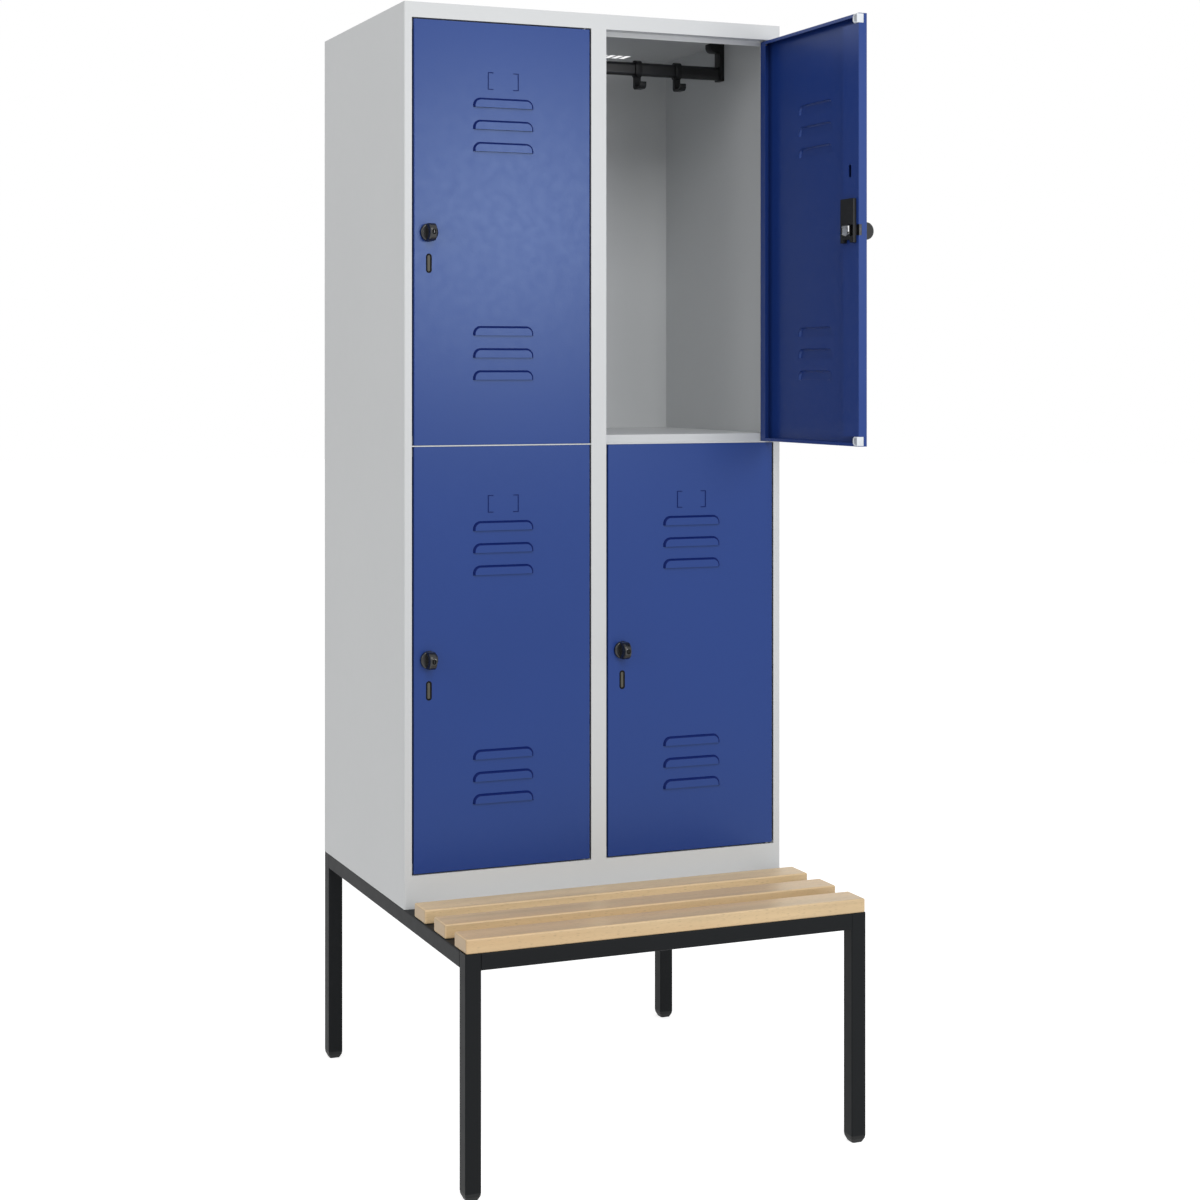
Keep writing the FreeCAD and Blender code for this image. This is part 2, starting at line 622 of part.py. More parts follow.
def make_lock_case(name, column, level):
    """Moulded lock case on the back of the stiffener, with two feet below."""
    case = new_body(name)
    x = (f"{KNOB_X} - case_wide / 2", f"{KNOB_X} + case_wide / 2")
    y = (DOOR_BACK, f"{DOOR_BACK} + case_deep")
    low = f"{LOCK_HEIGHT} - case_below"
    extrude(case, "XZ", y, rectangle(x, (low, f"{LOCK_HEIGHT} + case_above"), "case_round"))
    for start, end in ((x[0], f"{x[0]} + 2 * case_foot"), (f"{x[1]} - 2 * case_foot", x[1])):
        foot = rectangle((start, end), (f"{low} - case_foot", f"{low} + case_foot"), "case_round / 2")
        extrude(case, "XZ", y, foot)
    extrude(case, "XZ", y, lock_window(), cut=True)
    place_door(case, column, level)


def make_knob(name, column, level):
    """Round turning knob with an upright finger grip, a keyhole and a spindle through the door."""
    knob = new_body(name)
    seat = f"{DOOR_FACE} - running_play"
    extrude(knob, "XZ", (f"{seat} - knob_plate", seat), (KNOB_X, LOCK_HEIGHT, "knob_round"))
    front = f"{seat} - knob_out"
    extrude(knob, "YZ", (f"{KNOB_X} - fin_thick / 2", f"{KNOB_X} + fin_thick / 2"), [
        (front, f"{LOCK_HEIGHT} - fin_round", "fin_curve"), (seat, f"{LOCK_HEIGHT} - fin_round"),
        (seat, f"{LOCK_HEIGHT} + fin_round"), (front, f"{LOCK_HEIGHT} + fin_round", "fin_curve")])
    extrude(knob, "XZ", (f"{seat} - plate", f"{BOLT_FRONT} - running_play"),
            (KNOB_X, LOCK_HEIGHT, "spindle_round"))
    extrude(knob, "XZ", (front, f"{front} + key_deep"), rectangle(
        (f"{KNOB_X} - key_thick / 2", f"{KNOB_X} + key_thick / 2"),
        (f"{LOCK_HEIGHT} - key_high / 2", f"{LOCK_HEIGHT} + key_high / 2")), cut=True)
    place_door(knob, column, level)


def make_bolt(name, column, level):
    """Sliding bolt: a blade inside the stiffener, and a tail that shows in the lock case."""
    bolt = new_body(name)
    z = (f"{LOCK_HEIGHT} - bolt_high / 2", f"{LOCK_HEIGHT} + bolt_high / 2")
    far = f"{KNOB_X} + (tail_wide + bolt_travel) / 2"
    slab(bolt, (f"{DOOR_LEFT} + running_play", far), (BOLT_FRONT, BOLT_BACK), z)
    slab(bolt, (f"{far} - tail_wide", far), (f"{BOLT_BACK} - plate", f"{DOOR_BACK} + case_deep - plate"), z)
    place_door(bolt, column, level)


def make_buffers(name, column, level):
    """Moulded corner buffers that meet the stop lip when the door closes."""
    members = []
    for end, z in (("low", ("plate", "plate + buffer_high")),
                   ("high", (f"{DOOR_HIGH} - plate - buffer_high", f"{DOOR_HIGH} - plate"))):
        buffer = new_body(f"{name}_{end}", keep=False)
        x = (DOOR_LEFT, f"{DOOR_LEFT} + buffer_wide")
        slab(buffer, x, (f"{DOOR_BACK} - buffer_deep", DOOR_BACK), z)
        proud = [(x[0], z[0]), (f"{x[1]} - buffer_bevel", z[0]), (x[1], f"{z[0]} + buffer_bevel"),
                 (x[1], f"{z[1]} - buffer_bevel"), (f"{x[1]} - buffer_bevel", z[1]), (x[0], z[1])]
        extrude(buffer, "XZ", (f"{DOOR_BACK} - plate", f"{DOOR_BACK} + buffer_proud"), proud)
        members.append(buffer)
    place_door(group(name, members), column, level)


# ---- Hanging rails and hooks -------------------------------------------------------------------

def rail_place(level):
    """Depth and height of a hanging rail's middle."""
    return f"{FRONT} + rail_back", f"{CEILING[level]} - rail_drop"


def oval(y, z, wide, high):
    """An upright oval about a point."""
    return rectangle((f"{y} - ({wide}) / 2", f"{y} + ({wide}) / 2"),
                     (f"{z} - ({high}) / 2", f"{z} + ({high}) / 2"), f"({wide}) * {END_ROUND}")


def make_hanging_rails():
    """Oval tubes across each locker, their ends held in brackets under the ceiling."""
    rails = []
    brackets = []
    for level in DOOR_FOOT:
        y, z = rail_place(level)
        for side, (low, high) in WALLS.items():
            rail = new_body(f"hanging_rail_{level}_{side}", keep=False)
            rails.append(rail)
            span = (f"{low} + running_play", f"{high} - running_play")
            extrude(rail, "YZ", span, oval(y, z, "rail_thick", "rail_high"))
            extrude(rail, "YZ", span, oval(y, z, "rail_thick - 2 * rail_wall", "rail_high - 2 * rail_wall"),
                    cut=True)
            for end, wall, sign in (("a", low, "+"), ("b", high, "-")):
                bracket = new_body(f"bracket_{level}_{side}_{end}", keep=False)
                span_x = sorted((wall, f"{wall} {sign} bracket_thick"), key=value)
                ear_x = sorted((wall, f"{wall} {sign} bracket_ear"), key=value)
                span_y = (f"{y} - bracket_deep / 2", f"{y} + bracket_deep / 2")
                foot = f"{z} - rail_high / 2 - 2 * plate"
                extrude(bracket, "YZ", span_x, rectangle(span_y, (foot, CEILING[level])))
                tip = (f"{CEILING[level]} - ear_high", CEILING[level])
                corners = rectangle(ear_x, tip)
                corner = 0 if sign == "-" else 1
                corners[corner] = (*corners[corner], "ear_round")
                extrude(bracket, "XZ", span_y, corners)
                extrude(bracket, "YZ", span_x, oval(y, z, "rail_thick", "rail_high"), cut=True)
                brackets.append(bracket)
    group("hanging_rails", rails)
    group("rail_brackets", brackets)


def make_hook(label, x, level):
    """A hook that slides on the rail: a closed loop round it, and a J reaching forward below."""
    y, z = rail_place(level)
    hook = new_body(label)
    span = (f"{x} - hook_wide / 2", f"{x} + hook_wide / 2")
    extrude(hook, "YZ", span, oval(y, z, "rail_thick + 2 * hook_thick", "rail_high + 2 * hook_thick"))
    low = f"{z} - hook_drop"
    tip = f"{y} - hook_reach"
    extrude(hook, "YZ", span, [
        (f"{y} + hook_thick", f"{z} - rail_high / 2 - hook_thick / 2"),
        (f"{y} + hook_thick", low, "2 * hook_thick"), (tip, low, "2 * hook_thick"),
        (tip, f"{low} + hook_lip"), (f"{tip} + hook_thick", f"{low} + hook_lip"),
        (f"{tip} + hook_thick", f"{low} + 1.2 * hook_thick", "hook_thick"),
        (f"{y} - hook_thick", f"{low} + 1.2 * hook_thick", "hook_thick"),
        (f"{y} - hook_thick", f"{z} - rail_high / 2 - hook_thick / 2")])
    extrude(hook, "YZ", span,
            oval(y, z, "rail_thick + 2 * running_play", "rail_high + 2 * running_play"), cut=True)


def make_hooks():
    """Three hooks on each rail, evenly spaced about its middle."""
    for level in DOOR_FOOT:
        for side, (low, high) in OPENING.items():
            for number in range(COUNTS["hooks"]):
                offset = f"{number - (COUNTS['hooks'] - 1) / 2} * hook_pitch"
                make_hook(f"hook_{level}_{side}_{number + 1}", f"(({low}) + ({high})) / 2 + {offset}", level)


# ---- Stand and bench ---------------------------------------------------------------------------

def tube_section(u, v):
    """Outer and inner outlines of a square tube over two spans."""
    inner = [(f"{low} + tube_wall", f"{high} - tube_wall") for low, high in (u, v)]
    return rectangle(u, v, "tube_round"), rectangle(*inner, "tube_round / 2")


LEG_X = {"left": (LEFT, f"{LEFT} + tube_side"), "right": (f"{RIGHT} - tube_side", RIGHT)}
LEG_Y = {"front": (BENCH_FRONT, f"{BENCH_FRONT} + tube_side"), "rear": (f"{REAR} - tube_side", REAR)}
RAIL_Z = ("stand_high - tube_side", "stand_high")
SLAT_Z = ("stand_high", "stand_high + slat_thick")


def slat_span(number):
    """Depth span of a slat, counted from the front edge of the bench."""
    low = f"{BENCH_FRONT} + {number} * slat_pitch"
    return low, f"{low} + slat_wide"


def slat_screws():
    """Places of the screws that hold each slat to the two side rails."""
    places = []
    for number in range(COUNTS["slats"]):
        low, high = slat_span(number)
        for side in LEG_X:
            x = f"({LEG_X[side][0]}) + tube_side / 2"
            # The front slat lies over the legs, so its screws go in behind them.
            behind_leg = f"{BENCH_FRONT} + tube_side + screw_head + screw_clear"
            y = behind_leg if number == 0 else f"{low} + slat_wide / 2"
            places.append((side, number, x, y))
    return places


def make_legs():
    for side, x in LEG_X.items():
        for end, y in LEG_Y.items():
            leg = new_body(f"leg_{end}_{side}")
            extrude(leg, "XY", ("foot_high", "stand_high"), *tube_section(x, y))


def make_stand_rails():
    """Side rails between the legs, cross rails at the front, at the rear and under the doors."""
    between_y = (LEG_Y["front"][1], LEG_Y["rear"][0])
    side_rails = []
    for side, x in LEG_X.items():
        rail = new_body(f"side_rail_{side}", keep=False)
        side_rails.append(rail)
        extrude(rail, "XZ", between_y, *tube_section(x, RAIL_Z))
        holes = [(hole_x, y, "screw_round + pin_play") for at, _, hole_x, y in slat_screws() if at == side]
        extrude(rail, "XY", RAIL_Z, *holes, cut=True)
        middle = f"(({FLANGE_X[side][0]}) + ({FLANGE_X[side][1]})) / 2"
        holes = [(middle, y, "screw_round + pin_play") for y in FIXING_Y]
        extrude(rail, "XY", ("stand_high - tube_wall", "stand_high"), *holes, cut=True)
    group("side_rails", side_rails)
    between_x = (LEG_X["left"][1], LEG_X["right"][0])
    rows = {"front": LEG_Y["front"], "rear": LEG_Y["rear"],
            "cross": (f"{FRONT} + plate", f"{FRONT} + plate + tube_side")}
    for name, y in rows.items():
        rail = new_body(f"{name}_rail")
        extrude(rail, "YZ", between_x, *tube_section(y, RAIL_Z))


def make_feet():
    """Plastic glides: a tapered foot, and a plug that fills the end of the leg."""
    feet = []
    for side, x in LEG_X.items():
        for end, y in LEG_Y.items():
            foot = new_body(f"foot_{end}_{side}", keep=False)
            middle = [f"({low}) + tube_side / 2" for low, _ in (x, y)]
            levels = (("foot_high", "tube_side", "tube_round"),
                      ("foot_waist", "tube_side - foot_taper", "foot_round"),
                      ("0", "foot_tip", "foot_round"))
            sections = []
            for z, side_length, round_off in levels:
                sketch = foot.newObject("Sketcher::SketchObject", f"{foot.Name}_section")
                face = next(item for item in foot.Origin.OriginFeatures if item.Role == "XY_Plane")
                sketch.AttachmentSupport = [(face, "")]
                sketch.MapMode = "FlatFace"
                bind(sketch, "AttachmentOffset.Base.z", z)
                spans = [(f"{m} - ({side_length}) / 2", f"{m} + ({side_length}) / 2") for m in middle]
                draw_outline(sketch, rectangle(*spans, round_off))
                sections.append(sketch)
            loft = foot.newObject("PartDesign::AdditiveLoft", f"{foot.Name}_loft")
            loft.Profile = sections[0]
            loft.Sections = sections[1:]
            loft.Ruled = True
            plug = "tube_side / 2 - tube_wall - running_play"
            slab(foot, *[(f"{m} - ({plug})", f"{m} + {plug}") for m in middle],
                 ("foot_high - plate", "foot_high + foot_plug"))
            feet.append(foot)
    group("foot_glides", feet)


def make_slats():
    """Beech slats with rounded edges, and the screws that come up through the side rails."""
    names = ("front", "middle", "rear")
    x = (f"{LEFT} + slat_inset", f"{RIGHT} - slat_inset")
    for number, name in enumerate(names):
        slat = new_body(f"slat_{name}")
        block = slab(slat, x, slat_span(number), SLAT_Z)
        doc.recompute()
        edges = [f"Edge{index + 1}" for index in range(len(block.Shape.Edges))]
        soft = slat.newObject("PartDesign::Fillet", f"{slat.Name}_soft")
        soft.Base = (block, edges)
        bind(soft, "Radius", "slat_round")
        holes = [(hole_x, y, "screw_round") for _, at, hole_x, y in slat_screws() if at == number]
        extrude(slat, "XY", ("stand_high", "stand_high + screw_bite"), *holes, cut=True)
    screws = []
    for side, number, hole_x, y in slat_screws():
        low = "stand_high - tube_side"
        screws.append(rod(f"slat_screw_{side}_{number + 1}", hole_x, y,
                          (f"{low} - head_high", low, "screw_head"),
                          (low, "stand_high + screw_bite", "screw_round")))
    group("slat_screws", screws)


def make_fixings():
    """Bolts that hold the carcass down on the stand's side rails."""
    bolts = []
    for side, (low, high) in FLANGE_X.items():
        middle = f"(({low}) + ({high})) / 2"
        for number, y in enumerate(FIXING_Y, start=1):
            seat = f"{BASE} + plate"
            bolts.append(rod(f"carcass_bolt_{side}_{number}", middle, y,
                             (seat, f"{seat} + head_high", "screw_head"),
                             (f"{BASE} - screw_bite", seat, "screw_round")))
    group("carcass_bolts", bolts)


# ---- The whole locker ----------------------------------------------------------------------------

make_legs()
make_feet()
make_stand_rails()
make_slats()
make_sides()
make_partition()
make_top()
make_bottom()
make_shelves()
make_rear()
make_fixings()
make_pins()
for level in DOOR_FOOT:
    for column in OPENING:
        name = f"door_{level}_{column}"
        make_door_pan(name, column, level)
        make_stiffener(f"{name}_stiffener", column, level)
        make_lock_case(f"{name}_lock_case", column, level)
        make_knob(f"{name}_knob", column, level)
        make_bolt(f"{name}_bolt", column, level)
        make_buffers(f"{name}_buffers", column, level)
make_hanging_rails()
make_hooks()

doc.recompute()
for item in doc.Objects:
    if {"Invalid", "Error"} & set(item.State):
        raise RuntimeError(f"{item.Label} failed: {item.State}")
for piece in pieces:
    if piece.Shape.isNull() or not piece.Shape.isValid() or not piece.Shape.Solids:
        raise RuntimeError(f"{piece.Label} has no valid solid")

os.makedirs("parts", exist_ok=True)
for piece in pieces:
    piece.Shape.exportStep(f"parts/{piece.Label}.step")
print(f"{len(pieces)} pieces written")
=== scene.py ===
import json
import math

import bmesh
import bpy
from mathutils import Matrix, Vector

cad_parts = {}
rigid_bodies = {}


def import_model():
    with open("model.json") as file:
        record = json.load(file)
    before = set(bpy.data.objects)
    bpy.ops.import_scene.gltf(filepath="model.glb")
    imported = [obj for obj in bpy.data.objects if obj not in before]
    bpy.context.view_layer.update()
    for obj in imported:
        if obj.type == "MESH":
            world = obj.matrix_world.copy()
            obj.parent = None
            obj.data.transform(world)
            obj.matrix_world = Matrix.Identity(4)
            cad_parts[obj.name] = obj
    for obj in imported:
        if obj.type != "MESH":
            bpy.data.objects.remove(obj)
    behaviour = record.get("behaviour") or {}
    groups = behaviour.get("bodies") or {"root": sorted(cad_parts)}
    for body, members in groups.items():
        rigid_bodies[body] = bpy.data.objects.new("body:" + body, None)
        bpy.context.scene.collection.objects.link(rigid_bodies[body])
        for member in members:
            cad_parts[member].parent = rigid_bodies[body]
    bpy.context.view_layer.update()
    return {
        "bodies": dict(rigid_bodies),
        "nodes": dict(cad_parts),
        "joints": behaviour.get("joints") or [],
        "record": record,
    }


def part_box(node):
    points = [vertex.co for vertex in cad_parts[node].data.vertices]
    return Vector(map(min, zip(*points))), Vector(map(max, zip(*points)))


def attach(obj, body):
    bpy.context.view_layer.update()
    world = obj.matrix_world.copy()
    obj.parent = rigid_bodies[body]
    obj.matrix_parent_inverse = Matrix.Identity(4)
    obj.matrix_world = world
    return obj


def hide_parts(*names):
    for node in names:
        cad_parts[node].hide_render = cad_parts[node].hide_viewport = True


bl_info = {
    "name": "School Locker",
    "version": (1, 0, 0),
    "blender": (4, 5, 0),
    "location": "View3D > Sidebar > Locker",
    "description": "Detail and finishes for a cloakroom locker with a slatted bench",
    "category": "Object",
}

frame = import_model()

MM = 0.001
DOORS = [name for name in frame["bodies"] if f"{name}_knob" in frame["bodies"]]
HOOKS = [name for name in frame["bodies"] if name.startswith("hook_")]
LOUVRES = 3
CREASE_STEPS = 6
CORNER_STEPS = 12
SPIN_STEPS = 48
KEY_STEPS = 32
GRIP_STEPS = 24
# Share of the grip's width that is lost at its nose
GRIP_TAPER = 0.16
# Height of the bolt shield's lower corners, as a share of the height of its point
SHIELD_SIDE = 0.62
# Edges that bend by less than this look smooth
SMOOTH_ANGLE = math.radians(32)
# A face larger than this, in square metres, is a flat sheet and keeps its own shading
FLAT_AREA = 0.001
FLAT_ANGLE = math.radians(0.3)
SAME_PLACE = 1e-6


# ---- Settings --------------------------------------------------------------------------------

def linear(code):
    """The linear colour of an sRGB hex code."""
    channels = [int(code[start:start + 2], 16) / 255 for start in (0, 2, 4)]
    return [c / 12.92 if c <= 0.04045 else ((c + 0.055) / 1.055) ** 2.4 for c in channels]


def length(name, description, millimetres):
    return bpy.props.FloatProperty(
        name=name, description=description, default=millimetres * MM, unit="LENGTH", precision=4)


def colour(name, description, code):
    return bpy.props.FloatVectorProperty(
        name=name, description=description, default=linear(code), subtype="COLOR", min=0, max=1)


class LockerSizes(bpy.types.PropertyGroup):
    door_wide: length("Door width", "From the lock edge to the hinge edge", 362)
    hinge_inset: length("Hinge inset", "From the hinge edge to the pins' middle", 8)
    hinge_depth: length("Hinge depth", "From the door's face back to the pins' middle", 10.5)
    sheet: length("Sheet", "Thickness of the door's sheet steel", 1)
    louvre_wide: length("Louvre width", "Along the open lower edge", 124)
    louvre_high: length("Louvre height", "From the open edge to the upper crease", 18)
    louvre_round: length("Louvre corners", "Radius of the two upper corners", 15)
    louvre_out: length("Louvre depth", "How far the hood stands out", 4)
    crease_wide: length("Louvre crease", "Width of the steep edge round the hood", 4)
    cut_spare: length("Cut spare", "Margin where a pressed detail is let into the door", 0.05)
    louvre_pitch: length("Louvre pitch", "From one louvre to the next", 42)
    louvre_drop: length("Upper louvres", "From the door's top to the first open edge", 160)
    louvre_rise: length("Lower louvres", "From the door's foot to the last open edge", 123)
    label_proud: length("Label frame", "Least height of its ribs above the door's face", 0.1)
    lock_inset: length("Lock inset", "From the lock edge to the knob's middle", 30)
    slot_drop: length("Slot drop", "From the knob's middle down to the slot's", 58)
    slot_wide: length("Slot width", "Across the slot's lining", 11.5)
    slot_high: length("Slot height", "Along the slot's lining", 36.5)
    slot_proud: length("Slot lining", "How far its front stands off the door", 0.4)
    slot_slope: length("Slot edge", "Width of the sloped edge round the lining", 0.5)
    slot_rim: length("Slot rim", "Width of the flat rim", 2.2)
    slot_deep: length("Slot depth", "From the rim down to the shutter", 1)
    knob_radius: length("Knob radius", "Of the knob's round base", 17.5)
    knob_out: length("Knob depth", "From the door to the front of the grip", 29.9)
    knob_base: length("Knob base", "Thickness of the knob's round base", 6)
    knob_gap: length("Knob gap", "From the door's face to the knob", 0.3)
    knob_round: length("Knob rounding", "Radius on the rim of the base", 3)
    key_radius: length("Key cylinder", "Radius of the cylinder's face", 5)
    key_wide: length("Key slit width", "Across the bar in the cylinder's face", 1)
    key_high: length("Key slit height", "Along the bar in the cylinder's face", 5.2)
    grip_wide: length("Grip width", "Across the knob's grip, where it is widest", 16)
    grip_radius: length("Grip radius", "Of the half disc that the grip is seen from the side", 16.5)
    grip_round: length("Grip rounding", "Radius on the grip's edges", 2.6)
    shield_wide: length("Bolt shield", "Width of the bright tail in the lock case", 26)
    shield_round: length("Shield corners", "Radius of its two upper corners", 2.5)
    cap_rim: length("Buffer rim", "Width of the rim round the sunk middle", 2.6)
    cap_sunk: length("Buffer recess", "Depth of the sunk middle", 1.1)
    moulded_edge: length("Moulded edge", "Radius on the edges of moulded parts", 1)


class LockerColours(bpy.types.PropertyGroup):
    carcass: colour("Carcass", "Light grey powder coat", "cdcfd0")
    doors: colour("Doors", "Gentian blue powder coat", "1c377c")
    stand: colour("Stand", "Anthracite powder coat", "181a1c")
    beech: colour("Beech", "Clear-lacquered beech", "d9bd92")
    plastic: colour("Black plastic", "Moulded black parts", "161718")
    buffer: colour("Buffers", "Pale polypropylene corners", "d9dee3")
    # Near black: partly the cylinder's own dark finish, partly painted shade standing for the keyhole's
    # hollow
    cylinder: colour("Key cylinder", "Blackened steel", "060606")
    slot_rim: colour("Slot rim", "Black moulded lining", "0a0a0a")
    slot_shutter: colour("Slot shutter", "Grey-brown plate inside the lining", "504e45")


def sizes():
    return bpy.context.scene.locker_sizes


def colours():
    return bpy.context.scene.locker_colours


# ---- Materials -------------------------------------------------------------------------------

def mixed_colour(node):
    """The colour output of a mix node."""
    return next(socket for socket in node.outputs if socket.type == "RGBA")


def add_node(tree, kind, inputs=(), **settings):
    """Add a node. An input is given a value, or the socket that feeds it."""
    node = tree.nodes.new(kind)
    for name, setting in settings.items():
        setattr(node, name, setting)
    for name, given in dict(inputs).items():
        if isinstance(given, bpy.types.NodeSocket):
            tree.links.new(given, node.inputs[name])
        else:
            node.inputs[name].default_value = given
    return node


def rgba(rgb, gain=1.0):
    return (*[min(1.0, channel * gain) for channel in rgb], 1.0)


def new_material(name):
    material = bpy.data.materials.new(name)
    material.use_nodes = True
    material.node_tree.nodes.clear()
    return material, material.node_tree


def end_material(tree, inputs):
    shader = add_node(tree, "ShaderNodeBsdfPrincipled", inputs)
    add_node(tree, "ShaderNodeOutputMaterial", {"Surface": shader.outputs["BSDF"]})


def object_points(tree, stretch=(1, 1, 1), shift=(0, 0, 0)):
    """Object coordinates in metres, stretched and shifted."""
    points = add_node(tree, "ShaderNodeTexCoord").outputs["Object"]
    return add_node(tree, "ShaderNodeMapping",
                    {"Vector": points, "Scale": stretch, "Location": shift}).outputs["Vector"]


def two_tone(tree, factor, dark, light, low=0.3, high=0.7):
    ramp = add_node(tree, "ShaderNodeValToRGB", {"Fac": factor})
    ramp.color_ramp.elements[0].position = low
    ramp.color_ramp.elements[0].color = dark
    ramp.color_ramp.elements[1].position = high
    ramp.color_ramp.elements[1].color = light
    return ramp.outputs["Color"]


def noise(tree, points, grain, detail=2.0, roughness=0.5):
    """Noise whose spots are about one grain across, in metres."""
    return add_node(tree, "ShaderNodeTexNoise", {
        "Vector": points, "Scale": 1 / grain, "Detail": detail, "Roughness": roughness}).outputs["Fac"]


def powder_coat(name, rgb, roughness, peel, peel_depth, tone=0.03, level=0.5, sheen=(1, 1, 1, 1)):
    """Baked polyester powder: an even satin film whose orange peel softens every reflection.

    The real peel is about 1 mm across. It is drawn coarser, because finer would not show.
    """
    material, tree = new_material(name)
    points = object_points(tree)
    cloud = noise(tree, points, 0.35)
    film = two_tone(tree, cloud, rgba(rgb, 1 - tone), rgba(rgb, 1 + tone))
    skin = noise(tree, points, peel, detail=3.0)
    gloss = add_node(tree, "ShaderNodeMapRange", {
        "Value": noise(tree, points, 0.02), "To Min": roughness - 0.04, "To Max": roughness + 0.04})
    bump = add_node(tree, "ShaderNodeBump", {
        "Height": skin, "Strength": 0.25, "Distance": peel_depth})
    end_material(tree, {"Base Color": film, "Roughness": gloss.outputs["Result"], "IOR": 1.5,
                        "Specular IOR Level": level, "Specular Tint": sheen,
                        "Normal": bump.outputs["Normal"]})
    return material


def lacquered_beech(name, rgb, shift):
    """Planed beech under clear lacquer: pale straight fibre, short dark ray flecks, soft gloss.

    The slats run along X, so the faces that look along X are end grain and take the lacquer darker.
    """
    material, tree = new_material(name)
    along = object_points(tree, (2.2, 38, 38), shift)
    fibre = noise(tree, along, 1.0, detail=5.0, roughness=0.6)
    bands = noise(tree, object_points(tree, (0.9, 16, 16), shift), 1.0, detail=2.0)
    flecks = noise(tree, object_points(tree, (90, 900, 900), shift), 1.0, detail=0.0)
    wood = two_tone(tree, fibre, rgba(rgb, 0.84), rgba(rgb, 1.06), 0.32, 0.68)
    warm = add_node(tree, "ShaderNodeMix", {
        "Factor": add_node(tree, "ShaderNodeMapRange", {
            "Value": bands, "From Min": 0.45, "From Max": 0.7, "To Max": 0.45}).outputs["Result"],
        "A": wood, "B": rgba((rgb[0] * 0.93, rgb[1] * 0.80, rgb[2] * 0.68))}, data_type="RGBA")
    spots = add_node(tree, "ShaderNodeMapRange", {
        "Value": flecks, "From Min": 0.66, "From Max": 0.74, "To Max": 0.35}).outputs["Result"]
    speckled = add_node(tree, "ShaderNodeMix", {
        "Factor": spots, "A": mixed_colour(warm), "B": rgba(rgb, 0.45)}, data_type="RGBA")
    facing = add_node(tree, "ShaderNodeSeparateXYZ", {
        "Vector": add_node(tree, "ShaderNodeTexCoord").outputs["Normal"]}).outputs["X"]
    across = add_node(tree, "ShaderNodeMath", {0: facing}, operation="ABSOLUTE").outputs[0]
    ends = add_node(tree, "ShaderNodeMapRange", {
        "Value": across, "From Min": 0.7, "From Max": 0.95, "To Max": 0.75}).outputs["Result"]
    grain = add_node(tree, "ShaderNodeMix", {
        "Factor": ends, "A": mixed_colour(speckled),
        "B": rgba((rgb[0] * 0.6, rgb[1] * 0.54, rgb[2] * 0.44))}, data_type="RGBA")
    bump = add_node(tree, "ShaderNodeBump", {"Height": fibre, "Strength": 0.12, "Distance": 0.0004})
    end_material(tree, {"Base Color": mixed_colour(grain), "Roughness": 0.42, "IOR": 1.5,
                        "Coat Weight": 0.25, "Coat Roughness": 0.25, "Normal": bump.outputs["Normal"]})
    return material


def moulded_plastic(name, rgb, roughness, grain, level=0.3):
    """Injection-moulded plastic: even colour, with the mould's fine erosion on its skin."""
    material, tree = new_material(name)
    points = object_points(tree)
    tint = two_tone(tree, noise(tree, points, 0.03), rgba(rgb, 0.92), rgba(rgb, 1.08))
    bump = add_node(tree, "ShaderNodeBump", {
        "Height": noise(tree, points, grain), "Strength": 0.2, "Distance": 0.0002})
    end_material(tree, {"Base Color": tint, "Roughness": roughness, "IOR": 1.49,
                        "Specular IOR Level": level, "Normal": bump.outputs["Normal"]})
    return material


def zinc_plate(name, gain=1.0):
    """Bright zinc on steel: metal with a faint cloudy passivation."""
    material, tree = new_material(name)
    points = object_points(tree)
    cloud = noise(tree, points, 0.006, detail=3.0)
    end_material(tree, {
        "Base Color": two_tone(
            tree, cloud, rgba(linear("bcbdbf"), gain), rgba(linear("d7d7d6"), gain)),
        "Metallic": 1.0,
        "Roughness": add_node(tree, "ShaderNodeMapRange", {
            "Value": cloud, "To Min": 0.24, "To Max": 0.40}).outputs["Result"]})
    return material


# ---- Mesh helpers ------------------------------------------------------------------------------

def copy_node(node, place=Matrix()):
    """A copy of a CAD piece, merged into whole faces and moved into a door's own frame."""
    mesh = bmesh.new()
    mesh.from_mesh(frame["nodes"][node].data)
    bmesh.ops.remove_doubles(mesh, verts=mesh.verts, dist=SAME_PLACE)
    bmesh.ops.transform(mesh, matrix=place.inverted(), verts=mesh.verts)
    return mesh


def soften(mesh, width, segments=3):
    """Round the sharp outer edges of a solid."""
    bmesh.ops.dissolve_limit(mesh, angle_limit=math.radians(1), verts=mesh.verts, edges=mesh.edges)
    sharp = [edge for edge in mesh.edges if edge.is_manifold
             and edge.calc_face_angle() > SMOOTH_ANGLE and edge.calc_length() > width]
    bmesh.ops.bevel(mesh, geom=sharp, offset=width, offset_type="OFFSET", affect="EDGES",
                    segments=segments, profile=0.5, material=-1, clamp_overlap=True)


def finish_piece(mesh, name, materials, body, slot, *nodes, place=Matrix()):
    """Turn a bmesh into a piece that rides on a body and stands for CAD nodes."""
    bmesh.ops.transform(mesh, matrix=place, verts=mesh.verts)
    for face in mesh.faces:
        face.smooth = True
    for edge in mesh.edges:
        angle = edge.calc_face_angle(math.pi)
        beside_flat = any(face.calc_area() > FLAT_AREA for face in edge.link_faces)
        edge.smooth = angle < (FLAT_ANGLE if beside_flat else SMOOTH_ANGLE)
    data = bpy.data.meshes.new(name)
    mesh.to_mesh(data)
    mesh.free()
    for material in materials:
        data.materials.append(material)
    piece = bpy.data.objects.new(name, data)
    bpy.context.scene.collection.objects.link(piece)
    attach(piece, body)
    if nodes:
        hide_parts(*nodes)
    return piece


def paint(nodes, material):
    """Give CAD nodes a finish."""
    for node in nodes:
        data = frame["nodes"][node].data
        data.materials.clear()
        data.materials.append(material)


def nodes_of(slot):
    return [part["node"] for part in frame["record"]["subparts"] if part["material_slot"] == slot]


